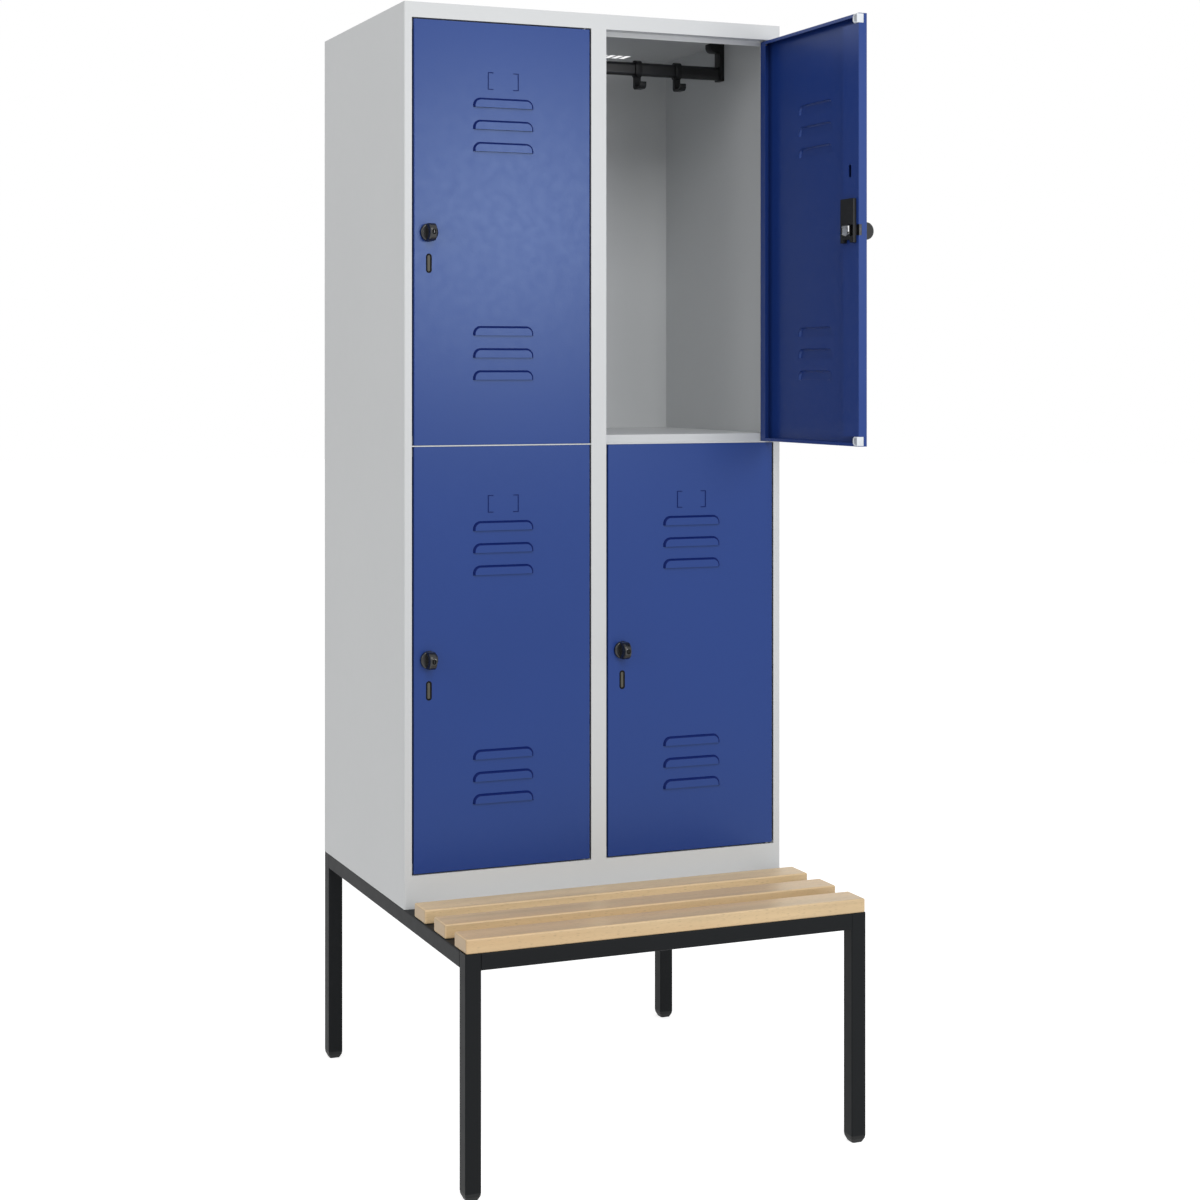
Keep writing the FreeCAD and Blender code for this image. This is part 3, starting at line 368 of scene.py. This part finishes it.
def add_box(mesh, low, high):
    """A block between two corners."""
    low, high = Vector(low), Vector(high)
    place = Matrix.Translation((low + high) / 2) @ Matrix.Diagonal((*(high - low), 1))
    bmesh.ops.create_cube(mesh, size=1, matrix=place)


def cut_away(mesh, cutter):
    """Cut one bmesh out of another and return the rest as a new bmesh."""
    blocks = []
    for source in (mesh, cutter):
        data = bpy.data.meshes.new("block")
        source.to_mesh(data)
        source.free()
        block = bpy.data.objects.new("block", data)
        bpy.context.scene.collection.objects.link(block)
        blocks.append(block)
    solid, tool = blocks
    cut = solid.modifiers.new("cut", "BOOLEAN")
    cut.operation = "DIFFERENCE"
    cut.solver = "EXACT"
    cut.object = tool
    ready = solid.evaluated_get(bpy.context.evaluated_depsgraph_get())
    rest = bmesh.new()
    rest.from_mesh(ready.to_mesh())
    ready.to_mesh_clear()
    for block in blocks:
        bpy.data.meshes.remove(block.data)
    return rest


def spin_profile(mesh, points, steps=SPIN_STEPS):
    """Turn a profile of (radius, distance) pairs about the Y axis. Distances run along -Y."""
    rim = [mesh.verts.new((radius, -distance, 0)) for radius, distance in points]
    edges = [mesh.edges.new(pair) for pair in zip(rim, rim[1:])]
    bmesh.ops.spin(mesh, geom=rim + edges, cent=(0, 0, 0), axis=(0, 1, 0),
                   angle=math.tau, steps=steps, use_merge=True)


def lock_across():
    """Where the lock's middle is across a door, in the door's own frame."""
    size = sizes()
    return size.hinge_inset - size.door_wide + size.lock_inset


def half_height(door):
    low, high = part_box(door)
    return (high.z - low.z) / 2


def door_place(door):
    """The matrix from a door's own frame, closed and facing -Y, to where it rests."""
    joint = next(joint for joint in frame["joints"] if joint["child"] == door)
    angle = math.radians(-joint["range_deg"][0])
    return Matrix.Translation(joint["pos_m"]) @ Matrix.Rotation(angle, 4, "Z")


# ---- Pieces ------------------------------------------------------------------------------------

def louvre_feet(door_high):
    """Heights of the louvres' open edges above the door's foot."""
    size = sizes()
    high = [door_high - size.louvre_drop - step * size.louvre_pitch for step in range(LOUVRES)]
    low = [size.louvre_rise + step * size.louvre_pitch for step in range(LOUVRES)]
    return high + low


def rounded_plate(mesh, middle, half_wide, high, radius, lower_too=False):
    """A flat face that looks along -Y, with its upper corners rounded, or all of them.

    It stands on the middle point. With all corners rounded, it is centred there instead.
    """
    middle = Vector(middle)
    base = -high if lower_too else 0
    place = (Matrix.Translation((middle.x, middle.y, middle.z + (base + high) / 2))
             @ Matrix.Rotation(math.pi / 2, 4, "X")
             @ Matrix.Diagonal((half_wide, (high - base) / 2, 1, 1)))
    before = set(mesh.faces)
    corners = bmesh.ops.create_grid(mesh, x_segments=1, y_segments=1, size=1, matrix=place)["verts"]
    rounded = [corner for corner in corners if lower_too or corner.co.z > middle.z]
    bmesh.ops.bevel(mesh, geom=rounded, offset=radius, offset_type="OFFSET", affect="VERTICES",
                    segments=CORNER_STEPS, profile=0.5, material=-1, clamp_overlap=False)
    return next(face for face in mesh.faces if face not in before)


def extrude_plate(mesh, face, distance):
    """Give a plate a thickness along +Y."""
    moved = bmesh.ops.extrude_face_region(mesh, geom=[face])["geom"]
    vertices = [item for item in moved if isinstance(item, bmesh.types.BMVert)]
    bmesh.ops.translate(mesh, vec=(0, distance, 0), verts=vertices)
    bmesh.ops.recalc_face_normals(mesh, faces=mesh.faces)


def press_louvre(middle):
    """One louvre above height zero: a steep crease round a flat hood, open below, with painted shade on
    the crease.
    """
    size = sizes()
    mesh = bmesh.new()
    hood = rounded_plate(mesh, (middle, -size.hinge_depth, 0), size.louvre_wide / 2 + size.cut_spare,
                         size.louvre_high + size.cut_spare, size.louvre_round + size.cut_spare, True)
    for step in range(CREASE_STEPS):
        rise = [math.sin(math.pi / 2 * at / CREASE_STEPS) for at in (step, step + 1)]
        bmesh.ops.inset_region(mesh, faces=[hood], thickness=size.crease_wide / CREASE_STEPS,
                               depth=size.louvre_out * (rise[1] - rise[0]), use_even_offset=True,
                               use_boundary=True)
    everything = mesh.verts[:] + mesh.edges[:] + mesh.faces[:]
    bmesh.ops.bisect_plane(mesh, geom=everything, dist=SAME_PLACE / 10, plane_co=(0, 0, 0),
                           plane_no=(0, 0, -1), clear_outer=True)
    mesh.normal_update()
    # The flat hood is the one large face; all the others are the crease, which takes the darker coat as
    # painted shade
    large = 4 * size.louvre_out * size.louvre_high
    for face in mesh.faces:
        face.material_index = 0 if face.calc_area() > large else 1
    bmesh.ops.solidify(mesh, geom=mesh.faces[:], thickness=size.sheet)
    mesh.normal_update()
    # The back, facing +Y, keeps the plain coat; only the front of the crease carries the painted shade
    for face in mesh.faces:
        if face.normal.y > 0:
            face.material_index = 0
    data = bpy.data.meshes.new("louvre")
    mesh.to_mesh(data)
    mesh.free()
    return data


class LOCKER_OT_doors(bpy.types.Operator):
    """Make the pressed door pans with their louvres, and finish the stiffeners"""

    bl_idname = "locker.doors"
    bl_label = "Doors"

    def execute(self, context):
        size = sizes()
        coat = powder_coat("gentian_powder_coat", colours().doors, 0.31, 0.0035, 0.0002,
                           sheen=(0.60, 0.76, 1.0, 1))
        # A darker copy of the door colour, as painted shade for the louvre creases and the label frame's
        # ribs
        painted_shade_colour = [channel * share for channel, share in zip(colours().doors, (0.2, 0.3, 0.5))]
        crease = powder_coat("gentian_powder_coat_painted_crease_shade", painted_shade_colour, 0.55, 0.0035, 0.0003, level=0.1)
        middle = size.hinge_inset - size.door_wide / 2
        louvre = press_louvre(middle)
        for door in DOORS:
            place = door_place(door)
            pan = copy_node(door, place)
            door_high = max(vertex.co.z for vertex in pan.verts)
            windows = bmesh.new()
            for foot in louvre_feet(door_high):
                plate = rounded_plate(
                    windows, (middle, -size.hinge_depth - 2 * size.louvre_out, foot),
                    size.louvre_wide / 2 + size.cut_spare, size.louvre_high + size.cut_spare,
                    size.louvre_round + size.cut_spare)
                extrude_plate(windows, plate, 2 * size.louvre_out + 2 * size.sheet)
            pan = cut_away(pan, windows)
            label_face = -size.hinge_depth - size.label_proud
            # The label frame's raised ribs take the darker coat as painted shade, standing for the
            # shadow gaps round the card holder's tabs
            for face in pan.faces:
                if face.calc_center_median().y < label_face:
                    face.material_index = 1
            for foot in louvre_feet(door_high):
                known = set(pan.verts)
                pan.from_mesh(louvre)
                added = [vertex for vertex in pan.verts if vertex not in known]
                bmesh.ops.translate(pan, vec=(0, 0, foot), verts=added)
            finish_piece(pan, f"{door}_pan", [coat, crease], door, "door_blue", door, place=place)
            paint([f"{door}_stiffener"], coat)
        bpy.data.meshes.remove(louvre)
        return {"FINISHED"}


class LOCKER_OT_slots(bpy.types.Operator):
    """Line the slot below each knob with a thin moulded surround"""

    bl_idname = "locker.slots"
    bl_label = "Slot linings"

    def execute(self, context):
        size = sizes()
        black = moulded_plastic("slot_lining", colours().slot_rim, 0.5, 0.001, level=0.1)
        inner = moulded_plastic("slot_shutter", colours().slot_shutter, 0.5, 0.001)
        for door in DOORS:
            lining = bmesh.new()
            middle = (lock_across(), -size.hinge_depth - size.slot_proud,
                      half_height(door) - size.slot_drop)
            front = rounded_plate(lining, middle, size.slot_wide / 2, size.slot_high / 2,
                                  0.98 * size.slot_wide / 2, True)
            bmesh.ops.inset_region(lining, faces=[front], thickness=size.slot_slope,
                                   depth=size.slot_proud / 2, use_boundary=True)
            bmesh.ops.inset_region(lining, faces=[front], thickness=size.slot_rim)
            bmesh.ops.inset_region(lining, faces=[front], thickness=size.slot_proud,
                                   depth=-size.slot_deep)
            front.material_index = 1
            finish_piece(lining, f"{door}_slot_lining", [black, inner], door, "lock_black",
                         place=door_place(door))
        return {"FINISHED"}


class LOCKER_OT_knobs(bpy.types.Operator):
    """Make the turning knobs: a domed base, a finger grip and a key cylinder"""

    bl_idname = "locker.knobs"
    bl_label = "Knobs"

    def execute(self, context):
        size = sizes()
        black = moulded_plastic("satin_black_abs", colours().plastic, 0.22, 0.0012, level=0.6)
        # The cylinder's face is near black: partly its own dark finish, partly painted shade for the
        # keyhole
        steel = moulded_plastic("blackened_cylinder_and_keyhole_shade", colours().cylinder, 0.4, 0.0012, level=0.1)
        base, out, deep = size.knob_radius, size.knob_out, size.knob_base
        key, edge = size.key_radius, size.knob_round
        foot = 0.05 * MM
        turns = [math.pi / 2 * (1 - step / 6) for step in range(7)]
        rim = [(base - edge + edge * math.cos(turn), deep - edge + edge * math.sin(turn))
               for turn in turns]
        plate = [(0, deep), *rim, (base, foot), (0, foot)]
        cylinder = [(0, out), (0.8 * key, out), (key, out - 0.4 * MM), (key, out - 3 * MM)]
        for door in DOORS:
            seat = Matrix.Translation((lock_across(), -size.hinge_depth - size.knob_gap,
                                       half_height(door)))
            knob = bmesh.new()
            spin_profile(knob, plate)
            self.add_grip(knob)
            before = set(knob.faces)
            spin_profile(knob, cylinder, KEY_STEPS)
            for face in set(knob.faces) - before:
                face.material_index = 1
            add_box(knob, (-size.key_wide / 2, -out - foot, -size.key_high / 2),
                    (size.key_wide / 2, -out + size.key_wide / 2, size.key_high / 2))
            bmesh.ops.recalc_face_normals(knob, faces=knob.faces)
            finish_piece(knob, f"{door}_knob_grip", [black, steel], f"{door}_knob", "knob_black",
                         f"{door}_knob", place=door_place(door) @ seat)
        return {"FINISHED"}

    def add_grip(self, knob):
        """The finger grip: half a disc on edge, a little thinner at its nose, rounded all over."""
        size = sizes()
        radius = size.grip_radius
        middle = size.knob_out - radius
        foot = 0.1 * MM
        turns = [math.pi * (step / GRIP_STEPS - 0.5) for step in range(GRIP_STEPS + 1)]
        rim = [(-middle - radius * math.cos(turn), radius * math.sin(turn)) for turn in turns]
        rim = [(-foot, -radius)] + rim + [(-foot, radius)]
        side = knob.faces.new([knob.verts.new((-size.grip_wide / 2, y, z)) for y, z in rim])
        moved = bmesh.ops.extrude_face_region(knob, geom=[side])["geom"]
        far = [item for item in moved if isinstance(item, bmesh.types.BMVert)]
        bmesh.ops.translate(knob, vec=(size.grip_wide, 0, 0), verts=far)
        cheeks = [side, next(item for item in moved if isinstance(item, bmesh.types.BMFace))]
        for vertex in {v for cheek in cheeks for v in cheek.verts}:
            nose = max(0, (-vertex.co.y - middle) / radius)
            vertex.co.x *= 1 - GRIP_TAPER * nose
        edges = list({edge for cheek in cheeks for edge in cheek.edges})
        bmesh.ops.bevel(knob, geom=edges, offset=size.grip_round, offset_type="OFFSET", affect="EDGES",
                        segments=4, profile=0.5, material=-1, clamp_overlap=True)


class LOCKER_OT_locks(bpy.types.Operator):
    """Finish the lock cases and bolts"""

    bl_idname = "locker.locks"
    bl_label = "Lock cases and bolts"

    def execute(self, context):
        edge = 0.7 * sizes().moulded_edge
        black = moulded_plastic("eroded_black_nylon", colours().plastic, 0.5, 0.0015)
        zinc = zinc_plate("zinc_plated_steel", 0.6)
        dull = zinc_plate("blackened_blade", 0.12)
        bright = zinc_plate("polished_nickel_shield", 1.35)
        for door in DOORS:
            case = copy_node(f"{door}_lock_case", door_place(door))
            soften(case, edge)
            finish_piece(case, f"{door}_lock_housing", [black], door, "lock_black",
                         f"{door}_lock_case", place=door_place(door))
            self.make_bolt(door, dull, bright)
        paint([node for node in nodes_of("zinc_steel") if not node.startswith("door")], zinc)
        return {"FINISHED"}

    def make_bolt(self, door, dull, bright):
        """The blade behind the stiffener, and the shield-shaped tail in the case's window."""
        size = sizes()
        place = door_place(door)
        blade = copy_node(f"{door}_bolt", place)
        low = Vector([min(v.co[axis] for v in blade.verts) for axis in range(3)])
        high = Vector([max(v.co[axis] for v in blade.verts) for axis in range(3)])
        finish_piece(blade, f"{door}_bolt_blade", [dull], f"{door}_bolt", "zinc_steel", f"{door}_bolt",
                     place=place)
        tail = bmesh.new()
        half_wide, half_high = size.shield_wide / 2, (high.z - low.z) / 2
        middle = Vector((high.x - 1 * MM - half_wide, high.y, (low.z + high.z) / 2))
        rounded_plate(tail, middle, half_wide, half_high, size.shield_round, True)
        for vertex in [v for v in tail.verts if v.co.z < middle.z]:
            share = 1 - abs(vertex.co.x - middle.x) / half_wide
            vertex.co.z = middle.z - half_high * (SHIELD_SIDE + (1 - SHIELD_SIDE) * share)
        everything = tail.verts[:] + tail.edges[:] + tail.faces[:]
        halved = bmesh.ops.bisect_plane(tail, geom=everything, dist=SAME_PLACE / 10, plane_co=middle,
                                        plane_no=(1, 0, 0))["geom_cut"]
        for vertex in halved:
            if isinstance(vertex, bmesh.types.BMVert) and vertex.co.z < middle.z:
                vertex.co.z = middle.z - half_high
        bmesh.ops.reverse_faces(tail, faces=tail.faces[:])
        bmesh.ops.inset_region(tail, faces=tail.faces[:], thickness=2 * MM, depth=1.0 * MM,
                               use_boundary=True)
        bmesh.ops.inset_region(tail, faces=[f for f in tail.faces if f.normal.y > 0.99],
                               thickness=3 * MM, depth=0.5 * MM)
        finish_piece(tail, f"{door}_bolt_shield", [bright], f"{door}_bolt", "zinc_steel", place=place)


class LOCKER_OT_buffers(bpy.types.Operator):
    """Make the pale corner buffers with their sunk middles, which are drawn darker as painted shade"""

    bl_idname = "locker.buffers"
    bl_label = "Corner buffers"

    def execute(self, context):
        size = sizes()
        pale = moulded_plastic("polypropylene", colours().buffer, 0.45, 0.001)
        # The sunk middles take a darker copy of the buffer colour as painted shade in the recess
        grey = moulded_plastic("polypropylene_recess_painted_shade", [c * 0.62 for c in colours().buffer], 0.5, 0.001)
        for door in DOORS:
            place = door_place(door)
            corner = copy_node(f"{door}_buffers", place)
            bmesh.ops.dissolve_limit(corner, angle_limit=math.radians(1), verts=corner.verts,
                                     edges=corner.edges)
            deepest = max(v.co.y for v in corner.verts)
            faces = [face for face in corner.faces
                     if face.normal.y > 0.99 and face.calc_center_median().y > deepest - MM]
            for face in faces:
                bmesh.ops.inset_region(corner, faces=[face], thickness=size.cap_rim)
                bmesh.ops.inset_region(corner, faces=[face], thickness=0.5 * MM, depth=-size.cap_sunk)
                face.material_index = 1
            sharp = [e for e in corner.edges if e.is_manifold and e.calc_face_angle() > SMOOTH_ANGLE
                     and not any(f.material_index for f in e.link_faces)]
            bmesh.ops.bevel(corner, geom=sharp, offset=0.5 * size.moulded_edge, affect="EDGES",
                            segments=2, profile=0.5, material=-1, clamp_overlap=True)
            finish_piece(corner, f"{door}_corner_caps", [pale, grey], door, "buffer_white",
                         f"{door}_buffers", place=place)
        return {"FINISHED"}


class LOCKER_OT_rails(bpy.types.Operator):
    """Make the rounded hooks and brackets, and finish the hanging rails"""

    bl_idname = "locker.rails"
    bl_label = "Hanging rails and hooks"

    def execute(self, context):
        size = sizes()
        nylon = moulded_plastic("black_nylon", colours().plastic, 0.42, 0.002)
        for hook in HOOKS:
            mesh = copy_node(hook)
            soften(mesh, 0.9 * size.moulded_edge)
            finish_piece(mesh, f"{hook}_rounded", [nylon], hook, "hook_black", hook)
        brackets = copy_node("rail_brackets")
        soften(brackets, size.moulded_edge)
        finish_piece(brackets, "rail_brackets_rounded", [nylon], "root", "hook_black", "rail_brackets")
        paint(nodes_of("rail_black"),
              powder_coat("black_rail_lacquer", colours().plastic, 0.33, 0.004, 0.0002))
        return {"FINISHED"}


class LOCKER_OT_carcass(bpy.types.Operator):
    """Finish the folded sheets of the carcass"""

    bl_idname = "locker.carcass"
    bl_label = "Carcass"

    def execute(self, context):
        paint(nodes_of("carcass_grey"),
              powder_coat("light_grey_powder_coat", colours().carcass, 0.42, 0.003, 0.00012, 0.01))
        return {"FINISHED"}


class LOCKER_OT_stand(bpy.types.Operator):
    """Finish the tube stand and its glides, and the beech slats"""

    bl_idname = "locker.stand"
    bl_label = "Stand and bench"

    def execute(self, context):
        coat = powder_coat("anthracite_fine_structure", colours().stand, 0.5, 0.0016, 0.0003, level=0.12)
        paint(nodes_of("frame_anthracite"), coat)
        glide = moulded_plastic("polyethylene_glide", colours().plastic, 0.55, 0.002)
        paint(nodes_of("glide_black"), glide)
        for number, slat in enumerate(nodes_of("beech")):
            shift = (1.7 * number, 0.31 * number, 2.3 * number)
            paint([slat], lacquered_beech(f"beech_{slat}", colours().beech, shift))
        return {"FINISHED"}


# ---- Stage -------------------------------------------------------------------------------------

# The view of a standing person, left of the locker, with a long lens shifted to keep its posts upright
EYE = (-1.675, -3.6505, 1.4304)
HEADING = math.radians(-20.405)
LENS = 60.82
LENS_SHIFT = (0.1375, -0.1885)
FLOOR_RADIUS = 30
AMBIENT = 0.62
# Each lamp's name, place, target, width, height and power in watts
LAMPS = (
    ("key", (-0.5, -3.6, 4.2), (0.0, 0.0, 1.0), 1.8, 1.8, 62),
    ("sheen", (0.95, -2.95, 1.95), (0.0, 0.0, 1.6), 0.9, 0.7, 21),
    ("fill", (-3.6, -1.2, 2.6), (0.0, 0.1, 1.1), 2.0, 2.0, 19),
)


def seen_factor(tree):
    """One for rays from the camera, from mirrors or through glass, and none for soft light."""
    path = add_node(tree, "ShaderNodeLightPath")
    total = add_node(tree, "ShaderNodeMath", {0: path.outputs["Is Camera Ray"],
                                              1: path.outputs["Is Glossy Ray"]}, operation="ADD")
    total = add_node(tree, "ShaderNodeMath", {0: total.outputs[0],
                                              1: path.outputs["Is Transmission Ray"]}, operation="ADD")
    seen = add_node(tree, "ShaderNodeMath", {0: total.outputs[0], 1: 1.0}, operation="MINIMUM")
    return seen.outputs[0]


def studio_floor():
    """White paper that still takes the object's soft shadow."""
    material, tree = new_material("studio_paper")
    paper = add_node(tree, "ShaderNodeBsdfDiffuse", {"Color": (0.62, 0.62, 0.62, 1)})
    glow = add_node(tree, "ShaderNodeMath", {0: seen_factor(tree), 1: 0.74}, operation="MULTIPLY")
    light = add_node(tree, "ShaderNodeEmission", {"Color": (1, 1, 1, 1), "Strength": glow.outputs[0]})
    both = add_node(tree, "ShaderNodeAddShader", {0: paper.outputs[0], 1: light.outputs[0]})
    add_node(tree, "ShaderNodeOutputMaterial", {"Surface": both.outputs[0]})
    return material


def add_lamp(name, location, target, width, height, power):
    lamp = bpy.data.lights.new(name, "AREA")
    lamp.shape = "RECTANGLE"
    lamp.size, lamp.size_y, lamp.energy = width, height, power
    holder = bpy.data.objects.new(name, lamp)
    holder.location = location
    holder.rotation_euler = (Vector(target) - Vector(location)).to_track_quat("-Z", "Y").to_euler()
    bpy.context.scene.collection.objects.link(holder)


class LOCKER_OT_stage(bpy.types.Operator):
    """Set up the camera, the pale floor, the soft lamps and the surroundings"""

    bl_idname = "locker.stage"
    bl_label = "Stage"

    def execute(self, context):
        scene = context.scene
        scene.view_settings.view_transform = "Standard"
        lens = bpy.data.cameras.new("view")
        lens.sensor_width = 36
        lens.lens = LENS
        lens.shift_x, lens.shift_y = LENS_SHIFT
        camera = bpy.data.objects.new("view", lens)
        camera.location = EYE
        camera.rotation_euler = (math.pi / 2, 0, HEADING)
        scene.collection.objects.link(camera)
        scene.camera = camera

        bpy.ops.mesh.primitive_circle_add(vertices=64, radius=FLOOR_RADIUS, fill_type="NGON")
        floor = context.object
        floor.name = "floor"
        floor.data.materials.append(studio_floor())

        world = bpy.data.worlds.new("surroundings")
        world.use_nodes = True
        tree = world.node_tree
        tree.nodes.clear()
        strength = add_node(tree, "ShaderNodeMapRange", {
            "Value": seen_factor(tree), "To Min": AMBIENT, "To Max": 1.0})
        sky = add_node(tree, "ShaderNodeBackground", {
            "Color": (1, 1, 1, 1), "Strength": strength.outputs["Result"]})
        add_node(tree, "ShaderNodeOutputWorld", {"Surface": sky.outputs[0]})
        scene.world = world

        for lamp in LAMPS:
            add_lamp(*lamp)
        return {"FINISHED"}


# ---- Panel and registration ----------------------------------------------------------------------

STEPS = (LOCKER_OT_stage, LOCKER_OT_carcass, LOCKER_OT_stand, LOCKER_OT_doors, LOCKER_OT_slots,
         LOCKER_OT_knobs, LOCKER_OT_locks, LOCKER_OT_buffers, LOCKER_OT_rails)


class LOCKER_PT_panel(bpy.types.Panel):
    bl_label = "School Locker"
    bl_idname = "LOCKER_PT_panel"
    bl_space_type = "VIEW_3D"
    bl_region_type = "UI"
    bl_category = "Locker"

    def draw(self, context):
        for group in (context.scene.locker_sizes, context.scene.locker_colours):
            for name in group.__annotations__:
                self.layout.prop(group, name)
        for step in STEPS:
            self.layout.operator(step.bl_idname)


CLASSES = (LockerSizes, LockerColours, *STEPS, LOCKER_PT_panel)


def register():
    for item in CLASSES:
        bpy.utils.register_class(item)
    bpy.types.Scene.locker_sizes = bpy.props.PointerProperty(type=LockerSizes)
    bpy.types.Scene.locker_colours = bpy.props.PointerProperty(type=LockerColours)


def unregister():
    del bpy.types.Scene.locker_colours
    del bpy.types.Scene.locker_sizes
    for item in reversed(CLASSES):
        bpy.utils.unregister_class(item)


def main():
    register()
    for step in STEPS:
        group, name = step.bl_idname.split(".")
        getattr(getattr(bpy.ops, group), name)()


if __name__ == "__main__":
    main()
